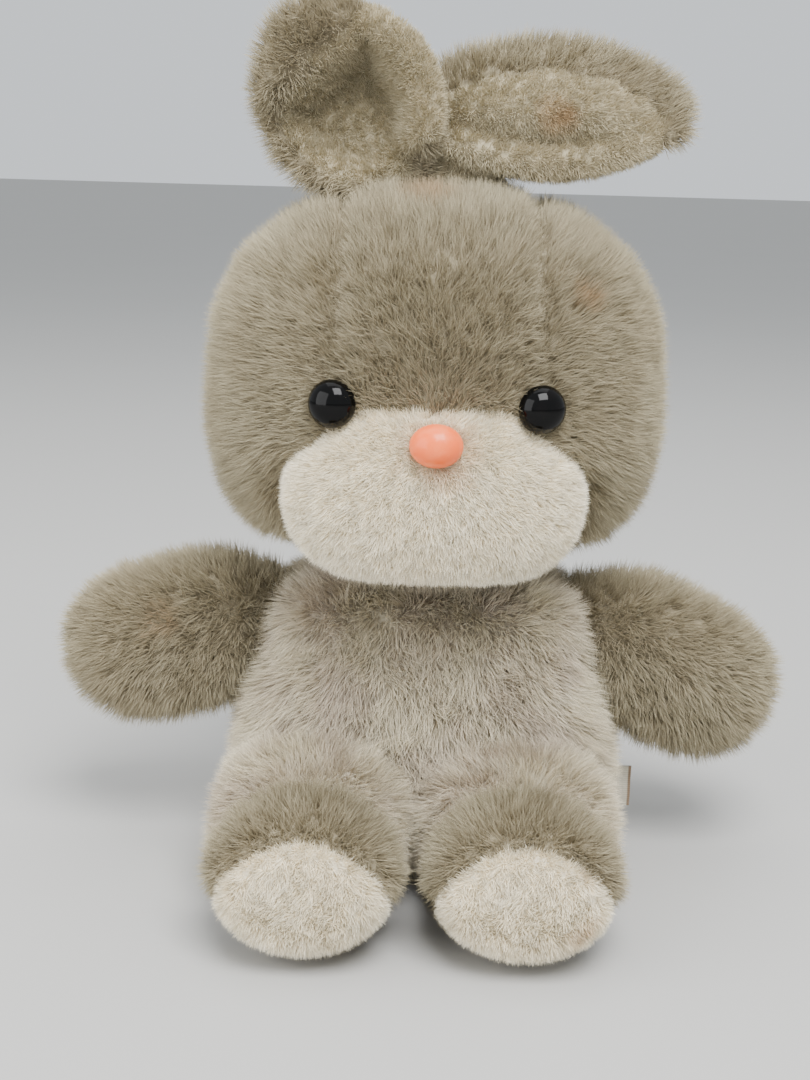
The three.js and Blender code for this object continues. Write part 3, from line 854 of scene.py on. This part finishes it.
    def grow(self, ground: Ground) -> bpy.types.Object:
        """Sets the pile on its ground.

        Args:
            ground: The panel's cloth.

        Returns:
            The fibres as one plain mesh.
        """
        plush = self.panel.plush
        pile = ground.thing(self.panel.pile_name)
        tree = self.tree()
        setter = pile.modifiers.new("pile", "NODES")
        setter.node_group = tree
        wanted = {"Tufts": plush.tufts * self.panel.thinned, "Lean": plush.lean, "Clump": plush.clump,
                  "Clump cells": plush.clump_cells, "Spread": 0.4, "Seed": self.seed, "Tuft": self.tuft(),
                  "Fibre": plush.material(on_pile=True)}
        for item in tree.interface.items_tree:
            if item.in_out == "INPUT" and item.name in wanted:
                setter[item.identifier] = wanted[item.name]
        applied(pile)
        mesh = pile.data
        points = np.empty(len(mesh.vertices) * 3, np.float32)
        mesh.vertices.foreach_get("co", points)
        points[2::3] = np.maximum(points[2::3], PILE_CLEARANCE)
        mesh.vertices.foreach_set("co", points)
        self.lay_out(mesh)
        for title in ("stand", "lean", "cover", "grown", "shade"):
            layer = mesh.attributes.get(title)
            if layer:
                mesh.attributes.remove(layer)
        LOG.info("%s: %d faces", pile.name, len(mesh.polygons))
        return pile

    def lay_out(self, mesh: bpy.types.Mesh) -> None:
        """Gives each tuft its own square of the bake map, root at the bottom and tips at the top."""
        strands = self.panel.plush.strands
        count = len(mesh.polygons) // (3 * strands)
        across = max(1, math.ceil(math.sqrt(count)))
        cell = np.repeat(np.arange(count), 9 * strands)
        base = (0.1, 0.4, 0.9)
        side = [spot for k in range(3) for spot in (base[k], base[(k + 1) % 3], 0.5)]
        side = np.tile(side, strands * count)
        rise = np.tile([0.1, 0.1, 0.9], 3 * strands * count)
        layer = mesh.uv_layers.new(name=BAKE_MAP)
        flat = np.stack([(cell % across + side) / across, (cell // across + rise) / across], axis=1)
        layer.uv.foreach_set("vector", flat.astype(np.float32).ravel())


# ---------------------------------------------------------------- sub-assemblies


@dataclass
class Head(Skin):
    """The broad head with its puffed muzzle."""

    name: str = "head_skin"
    body: str = "head"
    panels: list[Panel] = field(default_factory=lambda: [
        Panel("head_gusset_panel", TAN, "head_gusset_pile"),
        Panel("head_left_panel", TAN, "head_left_pile"),
        Panel("head_right_panel", TAN, "head_right_pile"),
        Panel("chin_panel", TAN, "chin_pile", length=0.7),
        Panel("muzzle_panel", CREAM, "muzzle_pile", inset=1.8 * MM),
    ])
    stuffing: list[str] = field(default_factory=lambda: ["head_stuffing"])
    lumps: list[Lump] = field(default_factory=lambda: [
        Lump((side * 0.034, 0.0, 0.131), (0.0375, 0.05, 0.0345)) for side in (-1.0, 1.0)])
    seed: int = 100

    def growth(self, points: np.ndarray, seam: np.ndarray) -> tuple[np.ndarray, np.ndarray]:
        """The pile parts along the two seams of the forehead."""
        cover, grown = super().growth(points, seam)
        brow = smoothstep(points[:, 2], 0.162, 0.172) * (1.0 - smoothstep(points[:, 1], 0.0, 0.015))
        return cover, grown * (1.0 - brow * 0.6 * (1.0 - smoothstep(seam, 0.8 * MM, 3.2 * MM)))

    def sculpt(self, shape: Shape, home: np.ndarray) -> None:
        """Raises the cloth round the eyes and the nose, so that they sit in the pile and not on stalks."""
        normals = shape.normals(2)
        for node, lift, reach in (("eye_left", 3.0, 12.0), ("eye_right", 3.0, 12.0), ("nose", 1.6, 12.0)):
            away = np.linalg.norm(shape.points - np.mean(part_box(node), axis=0), axis=1)
            shape.points += normals * (lift * MM * np.exp(-((away / (reach * MM)) ** 2)))[:, None]

    def comb(self, points: np.ndarray, normals: np.ndarray) -> np.ndarray:
        """The pile is brushed away from the nose, over the crown and down the back."""
        return points - np.array(NOSE_AT)


@dataclass
class Torso(Skin):
    """The pear-shaped torso that sits on its flat seat."""

    name: str = "torso_skin"
    body: str = "torso"
    panels: list[Panel] = field(default_factory=lambda: [
        Panel("torso_front_panel", GREY, "torso_front_pile", inset=3.0 * MM),
        Panel("torso_back_panel", GREY, "torso_back_pile", inset=3.0 * MM),
        Panel("seat_base_panel", GREY, "seat_pile", inset=1.0 * MM, length=0.35, thinned=0.4),
    ])
    stuffing: list[str] = field(default_factory=lambda: ["torso_stuffing"])
    lumps: list[Lump] = field(default_factory=lambda: [
        Lump((0.0, 0.0, 0.035), (0.061, 0.046, 0.0565), 2.8, taper=0.12, floor=0.0),
        Lump((0.0, 0.0, 0.066), (0.052, 0.037, 0.0265), 3.2)])
    seed: int = 200


@dataclass
class Limb(Skin):
    """A limb whose pile runs from its root to its end."""

    root: Point = (0.0, 0.0, 0.0)

    def comb(self, points: np.ndarray, normals: np.ndarray) -> np.ndarray:
        """The pile is brushed from the root to the end."""
        return points - np.array(self.root)


@dataclass
class Leg(Limb):
    """A leg whose sole is an egg-shaped panel over most of the foot's front."""

    sole_middle: tuple[float, float] = (0.0, 0.021)
    sole_half: tuple[float, float] = (0.0235, 0.0175)
    sole_behind: float = 0.022
    sole_narrowing: float = 0.12
    aside: float = 0.0

    def cut(self) -> None:
        """Cuts the leg and sets it a little aside, as the stuffing has settled."""
        super().cut()
        self.thing.data.transform(Matrix.Translation((self.aside, 0.0, 0.0)))

    def assign(self, shape: Shape) -> np.ndarray:
        """The sole is the egg on the foot's front, and the rest goes to the nearer panel.

        Args:
            shape: The leg's skin.

        Returns:
            The number of each face's panel.
        """
        centres = shape.points[shape.faces].mean(axis=1)
        home = np.minimum(self.nearest(centres), 1)
        front = centres[:, 1].min()
        across = (centres[:, 0] - self.sole_middle[0]) / self.sole_half[0]
        rise = (centres[:, 2] - self.sole_middle[1]) / self.sole_half[1]
        egg = (across / (1.0 - self.sole_narrowing * rise)) ** 2 + rise ** 2 < 1.0
        home[egg & (centres[:, 1] < front + self.sole_behind)] = 2
        return home


@dataclass
class Ear(Limb):
    """A soft two-layer petal, cupped and folded, with its tan edge rolled to the front."""

    along: Point = (1.0, 0.0, 0.0)
    across: Point = (0.0, 0.0, -1.0)
    length: float = 75.0 * MM
    half_width: float = 21.0 * MM
    thick: float = 8.5 * MM
    tilt: float = 0.0
    rim: float = 0.0
    arch: float = 0.0
    valley: float = 0.0
    valley_at: float = 0.45
    valley_width: float = 0.22
    valley_end: tuple[float, float] = (0.55, 0.9)
    rim_tip: tuple[float, float] = (11.0 * MM, 25.0 * MM)
    rim_top: tuple[float, float] = (4.0 * MM, 15.0 * MM)
    rim_low: tuple[float, float] = (2.0 * MM, 14.0 * MM)
    rim_low_share: float = 0.6
    band: tuple[float, float, float] = (11.0 * MM, 0.0, 5.0 * MM)
    wrapped: float = 1.0
    steps: int = 26

    def half(self, s: np.ndarray) -> np.ndarray:
        """The petal's half width at each share of its length."""
        return self.half_width * np.sin(math.pi * (0.12 + 0.86 * s)) ** 0.55

    def to_edges(self, s: np.ndarray, t: np.ndarray) -> tuple[np.ndarray, np.ndarray, np.ndarray]:
        """How far a spot on the petal is from its tip, its low edge and its top edge."""
        return (1.0 - s) * self.length, (1.0 - t) * self.half(s), (1.0 + t) * self.half(s)

    def middle(self, s: np.ndarray, t: np.ndarray) -> np.ndarray:
        """The petal's middle surface.

        Args:
            s: Share of the length, from root to tip.
            t: Share of the half width, from -1 at one edge to 1 at the other.

        Returns:
            The points of the surface.
        """
        forward = self.tilt * t + self.arch * (1.0 - t ** 2) * np.sin(math.pi * s)
        to_tip, to_low, to_top = self.to_edges(s, t)
        raised = [1.0 - smoothstep(to_tip, *self.rim_tip), 1.0 - smoothstep(to_top, *self.rim_top),
                  self.rim_low_share - self.rim_low_share * smoothstep(to_low, *self.rim_low)]
        forward = forward + self.rim * np.max(raised, axis=0)
        fold = np.exp(-(((t - self.valley_at) / self.valley_width) ** 2))
        fold = fold * (1.0 - smoothstep(s, *self.valley_end))
        forward = forward - self.valley * fold
        at = np.array(self.root) + s[..., None] * self.length * np.array(self.along)
        at = at + (t * self.half(s))[..., None] * np.array(self.across)
        at[..., 1] -= forward
        return at

    def grid(self) -> tuple[np.ndarray, np.ndarray, np.ndarray, np.ndarray]:
        """The middle surface on a grid, with its front directions and the two shares."""
        shares = (np.linspace(0.0, 1.0, self.steps), np.linspace(-1.0, 1.0, self.steps))
        s, t = np.meshgrid(*shares, indexing="ij")
        at = self.middle(s, t)
        step = 0.01
        out = np.cross(self.middle(s + step, t) - self.middle(s - step, t),
                       self.middle(s, t + step) - self.middle(s, t - step))
        out = unit(out)
        out *= np.where(out[..., 1:2].mean() > 0, -1.0, 1.0)
        return at, out, s, t

    def pattern(self) -> bmesh.types.BMesh:
        """Two layers a little apart, closed round their edge, and a root that runs into the head."""
        at, out, s, t = self.grid()
        half = 0.5 * self.thick * np.sqrt(1.0 - 0.8 * t ** 4) * (1.0 - 0.55 * s ** 6)
        mesh = bmesh.new()
        layers = []
        for sign in (1.0, -1.0):
            spots = at + sign * half[..., None] * out
            layers.append([[mesh.verts.new(spot) for spot in row] for row in spots.tolist()])
        last = self.steps - 1
        front, back = layers
        for i in range(last):
            for j in range(last):
                for rows in layers:
                    mesh.faces.new((rows[i][j], rows[i][j + 1], rows[i + 1][j + 1], rows[i + 1][j]))
            for j in (0, last):
                mesh.faces.new((front[i][j], front[i + 1][j], back[i + 1][j], back[i][j]))
                mesh.faces.new((front[j][i], front[j][i + 1], back[j][i + 1], back[j][i]))
        bmesh.ops.recalc_face_normals(mesh, faces=mesh.faces)
        for lump in self.lumps:
            lump.add_to(mesh)
        return mesh

    def assign(self, shape: Shape) -> np.ndarray:
        """The lining is the front inside the rolled edge; the back panel has the rest.

        Args:
            shape: The ear's skin.

        Returns:
            The number of each face's panel.
        """
        at, out, s, t = (part.reshape(self.steps ** 2, -1) for part in self.grid())
        centres = shape.points[shape.faces].mean(axis=1)
        found = closest(centres, at)[0]
        along, across = s[found, 0], t[found, 0]
        behind = np.where(across * self.wrapped > 0.72, 1.2 * self.thick, 0.2 * MM)
        ahead = np.sum((centres - at[found]) * out[found], axis=1) > -behind
        top, low, tip = self.band
        to_tip, to_low, to_top = self.to_edges(along, across)
        corner = sum(np.sign(edge) * (edge / np.maximum(away, 0.1 * MM)) ** 2
                     for edge, away in ((top, to_top), (low, to_low), (tip, to_tip)))
        inside = corner < 1.0
        return np.where(ahead & inside, 0, 1)

    def nearest(self, points: np.ndarray) -> np.ndarray:
        """Both layers are drawn in alike."""
        return np.zeros(len(points), int)


@dataclass
class Button:
    """A domed safety eye or nose on its shank, lathed about the shank's axis."""

    name: str
    node: str
    washer: str
    finish: Plastic
    half: tuple[float, float]
    dome: float
    body: str = "head"
    shank: float = 2.2 * MM
    sides: int = 48
    steps: int = 14

    def axis(self) -> Vector:
        """The shank's axis, out of the head: across the washer's flat."""
        points = points_of(self.washer)
        axis = np.linalg.svd(points - points.mean(axis=0), full_matrices=False)[2][2]
        return Vector(axis if axis[1] < 0 else -axis)

    def build(self) -> None:
        """Lathes the button and sets it where its CAD node is."""
        out = self.axis()
        heights = points_of(self.node) @ np.array(out)
        top, low = heights.max(), heights.min()
        washer = points_of(self.washer).mean(axis=0)
        centre = washer + np.array(out) * (top - washer @ np.array(out))
        right = Vector((1.0, 0.0, 0.0))
        right = (right - out * right.dot(out)).normalized()
        up = out.cross(right)
        if up.z < 0:
            up = -up
        profile = [0.5 * math.pi * k / self.steps for k in range(self.steps + 1)]
        rings = [(math.sin(a), self.dome * (math.cos(a) - 1.0)) for a in profile]
        rings += [(0.97, -self.dome - 0.5 * MM), (0.9, -self.dome - 0.9 * MM)]
        shank = self.shank / self.half[1]
        rings += [(shank * 1.2, -self.dome - 1.0 * MM), (shank, low - top + 0.4 * MM),
                  (shank * 0.8, low - top)]
        mesh = bmesh.new()
        rows = []
        for share, depth in rings[1:]:
            row = []
            for k in range(self.sides):
                turn = math.tau * k / self.sides
                spot = Vector(centre) + out * depth
                spot += right * (self.half[0] * share * math.cos(turn))
                spot += up * (self.half[1] * share * math.sin(turn))
                row.append(mesh.verts.new(spot))
            rows.append(row)
        cap = mesh.verts.new(Vector(centre))
        foot = mesh.verts.new(Vector(centre) + out * (low - top))
        for k in range(self.sides):
            after = (k + 1) % self.sides
            mesh.faces.new((cap, rows[0][k], rows[0][after]))
            mesh.faces.new((foot, rows[-1][after], rows[-1][k]))
            for first, second in zip(rows, rows[1:]):
                mesh.faces.new((first[k], second[k], second[after], first[after]))
        bmesh.ops.recalc_face_normals(mesh, faces=mesh.faces)
        data = bpy.data.meshes.new(self.name)
        mesh.to_mesh(data)
        mesh.free()
        data.polygons.foreach_set("use_smooth", np.ones(len(data.polygons), bool))
        data.materials.append(self.finish.material())
        made = linked(self.name, data)
        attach(made, self.body)
        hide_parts(self.node)
        LOG.info("%s: %d faces", self.name, len(data.polygons))


@dataclass
class Label:
    """A folded satin tab sewn into the side seam."""

    node: str = "side_label"
    body: str = "torso"
    tape: float = 0.35 * MM
    clear: float = 2.5 * MM
    steps: int = 12
    rows: int = 10
    straight: float = 0.94

    def build(self) -> None:
        """Folds the tape round its outer edge and gives it a wall."""
        low, high = (Vector(corner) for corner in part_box(self.node))
        low.x += self.clear
        high.x += self.clear
        reach = high.x - low.x
        gap = 0.5 * (high.y - low.y) - self.tape
        middle = 0.5 * (low.y + high.y)
        line = [(low.x + reach * self.straight * k / self.steps, gap) for k in range(self.steps + 1)]
        turn = [(low.x + reach * self.straight + gap * math.sin(a), gap * math.cos(a))
                for a in (math.pi * k / 8 for k in range(1, 8))]
        line = line + turn + [(x, -y) for x, y in reversed(line)]
        points, faces = [], []
        for k in range(self.rows + 1):
            share = k / self.rows
            for x, y in line:
                wave = 0.25 * MM * math.sin(9.0 * share + 300.0 * x)
                points.append((x, middle + y + wave, low.z + (high.z - low.z) * share))
        row = len(line)
        for k in range(self.rows):
            faces += [(k * row + j, k * row + j + 1, (k + 1) * row + j + 1, (k + 1) * row + j)
                      for j in range(row - 1)]
        mesh = bpy.data.meshes.new("label_tape")
        mesh.from_pydata(points, [], faces)
        made = linked("label_tape", mesh)
        wall = made.modifiers.new("wall", "SOLIDIFY")
        wall.thickness = self.tape
        wall.offset = 0.0
        applied(made)
        made.data.materials.append(Satin().material(high.x))
        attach(made, self.body)
        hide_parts(self.node)


@dataclass
class Studio:
    """The floor, the soft lights and the camera."""

    camera_place: Point = (-0.008, -0.530, 0.215)
    pitch: float = 12.3
    roll: float = 1.6
    lens: float = 55.4
    pale: Colour = (0.46, 0.455, 0.44)
    reach: float = 30.0
    aim: Point = (0.0, 0.0, 0.12)

    def set_camera(self) -> None:
        """Places the camera that looks a little down on the rabbit."""
        data = bpy.data.cameras.new("camera")
        data.lens = self.lens
        camera = bpy.data.objects.new("camera", data)
        camera.matrix_world = (Matrix.Translation(self.camera_place)
                               @ Matrix.Rotation(math.radians(90.0 - self.pitch), 4, "X")
                               @ Matrix.Rotation(math.radians(self.roll), 4, "Z"))
        bpy.context.scene.collection.objects.link(camera)
        bpy.context.scene.camera = camera

    def set_floor(self) -> None:
        """Lays a wide pale floor."""
        mesh = bpy.data.meshes.new("floor")
        corners = ((-1.0, -1.0), (1.0, -1.0), (1.0, 1.0), (-1.0, 1.0))
        mesh.from_pydata([(x * self.reach, y * self.reach, 0.0) for x, y in corners], [], [(0, 1, 2, 3)])
        floor = linked("floor", mesh)
        made, graph, where = new_material("floor_paper")
        tone = graph.noise(where, 3.0) * 0.03 + 0.98
        paper = graph.scaled(self.pale, tone)
        graph.surface({"Base Color": paper, "Roughness": 0.9, "Specular IOR Level": 0.1})
        mesh.materials.append(made)

    def set_lights(self) -> None:
        """Hangs three wide lamps and an even pale sky."""
        for name, place, size, power in (
            ("key", (0.25, -0.8, 1.3), 0.8, 40.0),
            ("fill", (-0.95, -0.7, 0.5), 1.0, 13.0),
            ("top", (0.0, 0.35, 1.4), 1.2, 9.0),
        ):
            data = bpy.data.lights.new(name, "AREA")
            data.shape = "SQUARE"
            data.size = size
            data.energy = power
            lamp = bpy.data.objects.new(name, data)
            aim = Vector(self.aim) - Vector(place)
            lamp.matrix_world = Matrix.Translation(place) @ aim.to_track_quat("-Z", "Y").to_matrix().to_4x4()
            bpy.context.scene.collection.objects.link(lamp)
        world = bpy.data.worlds.new("sky")
        bpy.context.scene.world = world
        world.use_nodes = True
        graph = Graph(world.node_tree)
        sky = graph.node("ShaderNodeBackground", None, {"Color": (0.82, 0.86, 0.9, 1.0), "Strength": 1.05})
        graph.node("ShaderNodeOutputWorld", None, {"Surface": sky.outputs[0]})


def ears() -> list[Ear]:
    """The two ears: the left flops out to the side, the right stands and curls forward."""
    made = []
    for side, seed in (("left", 300), ("right", 310)):
        panels = [Panel(f"ear_{side}_lining", LINING_YELLOWED_AND_SHADED, f"ear_{side}_lining_pile", inset=0.0, length=0.85),
                  Panel(f"ear_{side}_back", TAN, f"ear_{side}_back_pile", inset=0.0, length=0.8)]
        shared = {"voxel": 1.8 * MM, "fill": 0.15, "puff": 0.8 * MM, "seam_depth": 0.3 * MM,
                  "seam_width": 1.5 * MM, "seed": seed}
        if side == "left":
            shape = {"root": (-0.001, -0.004, 0.2358), "along": (1.0, -0.02, 0.0),
                     "length": 75.0 * MM, "half_width": 20.0 * MM, "tilt": 9.0 * MM, "arch": 8.0 * MM,
                     "valley": 12.0 * MM, "lumps": [Lump((0.008, -0.003, 0.218), (0.012, 0.007, 0.014))]}
        else:
            shape = {"root": (-0.013, -0.002, 0.2185), "along": (-0.62, 0.0, 0.78),
                     "across": (-0.78, 0.0, -0.62), "length": 55.0 * MM, "half_width": 27.0 * MM,
                     "rim": 19.0 * MM, "arch": -3.0 * MM, "wrapped": -1.0,
                     "band": (0.0, 3.0 * MM, 13.0 * MM),
                     "lumps": [Lump((-0.01, -0.003, 0.214), (0.012, 0.007, 0.012))]}
        made.append(Ear(f"ear_{side}_skin", f"ear_{side}", panels, [], **shared, **shape))
    return made


def arm(side: str, sign: float, drop: float, seed: int) -> Skin:
    """One thick arm that hangs out from the shoulder.

    Args:
        side: The rabbit's own side, left or right.
        sign: 1 on its left, -1 on its right.
        drop: How far the arm hangs below level, in degrees.
        seed: The first of its panels' seeds.

    Returns:
        The arm, not yet cut.
    """
    way = Vector((sign * math.cos(math.radians(drop)), 0.0, -math.sin(math.radians(drop))))
    centre = Vector((sign * 0.052, 0.0, 0.075)) + way * 0.03
    return Limb(f"arm_{side}_skin", f"arm_{side}", [
        Panel(f"arm_{side}_front_panel", TAN, f"arm_{side}_front_pile", inset=4.0 * MM),
        Panel(f"arm_{side}_back_panel", TAN, f"arm_{side}_back_pile", inset=4.0 * MM),
    ], [f"arm_{side}_stuffing"], voxel=2.6 * MM, seed=seed, root=(sign * 0.04, 0.0, 0.078),
        lumps=[Lump(tuple(centre), (0.038, 0.022, 0.0265), 2.4, tilt=sign * drop)])


def leg(side: str, sign: float, seed: int) -> Skin:
    """One short leg: a grey sleeve, a tan foot and a cream sole.

    Args:
        side: The rabbit's own side, left or right.
        sign: 1 on its left, -1 on its right.
        seed: The first of its panels' seeds.

    Returns:
        The leg, not yet cut.
    """
    return Leg(f"leg_{side}_skin", f"leg_{side}", [
        Panel(f"leg_{side}_sleeve_panel", GREY, f"leg_{side}_sleeve_pile", inset=3.0 * MM, length=0.9),
        Panel(f"foot_{side}_upper_panel", TAN, f"foot_{side}_upper_pile", inset=3.5 * MM, length=0.85),
        Panel(f"foot_{side}_sole", CREAM, f"foot_{side}_sole_pile", inset=2.6 * MM),
    ], [f"leg_{side}_stuffing"], voxel=2.6 * MM, seed=seed, root=(sign * HIP_OUT, -0.02, 0.022),
        sole_middle=(sign * HIP_OUT + LEG_ASIDE, 0.0205), aside=LEG_ASIDE,
        lumps=[Lump((sign * HIP_OUT, -0.051, 0.023), (0.03, 0.035, 0.0235), 2.3, floor=0.0)])


def main() -> None:
    """Builds the rabbit piece by piece."""
    studio = Studio()
    studio.set_camera()
    studio.set_floor()
    studio.set_lights()
    head = Head(keep_off={"eye_left": (1.6 * MM, 4.5 * MM), "eye_right": (1.6 * MM, 4.5 * MM),
                          "nose": (1.0 * MM, 2.0 * MM)})
    torso = Torso()
    limbs = [arm("left", 1.0, 28.0, 400), arm("right", -1.0, 17.0, 410),
             leg("left", 1.0, 420), leg("right", -1.0, 430)]
    tail_panel = Panel("tail_cover", CREAM, "tail_pile", inset=3.0 * MM, length=1.6)
    tail = Limb("tail_skin", "torso", [tail_panel], ["tail_stuffing"],
                voxel=2.2 * MM, seed=500, root=(0.0, 0.03, 0.024))
    neck_panel = Panel("neck_stuffing", GREY, "neck_pile", inset=0.6 * MM, length=0.5)
    neck = Skin("neck_skin", "neck", [neck_panel], [], voxel=2.4 * MM, puff=0.4 * MM, fill=0.8,
                seed=600, lumps=[Lump((0.0, -0.002, 0.094), (0.036, 0.028, 0.008))])
    skins = [head, torso, *ears(), *limbs, tail, neck]
    for skin in skins:
        skin.cut()
    for skin in skins:
        skin.stuff()
    for step in range(1, CLOTH_FRAMES + 1):
        bpy.context.scene.frame_set(step)
    for skin in skins:
        skin.settle()
    bpy.context.scene.frame_set(1)
    for skin in skins:
        skin.dress()
    for name in [thing.name for thing in bpy.data.objects if thing.name.endswith("_tuft")]:
        bpy.data.objects.remove(bpy.data.objects[name])
    for side in ("left", "right"):
        Button(f"eye_{side}_button", f"eye_{side}", f"eye_{side}_washer", EYE_BLACK, (7.0 * MM, 7.0 * MM),
               5.5 * MM).build()
    Button("nose_button", "nose", "nose_washer", NOSE_PINK, (7.6 * MM, 6.2 * MM), 6.0 * MM).build()
    for washer in ("eye_left_washer", "eye_right_washer", "nose_washer"):
        for place in frame["nodes"][washer].material_slots:
            place.material = WASHER_CLEAR.material()
    Label().build()


if __name__ == "__main__":
    main()
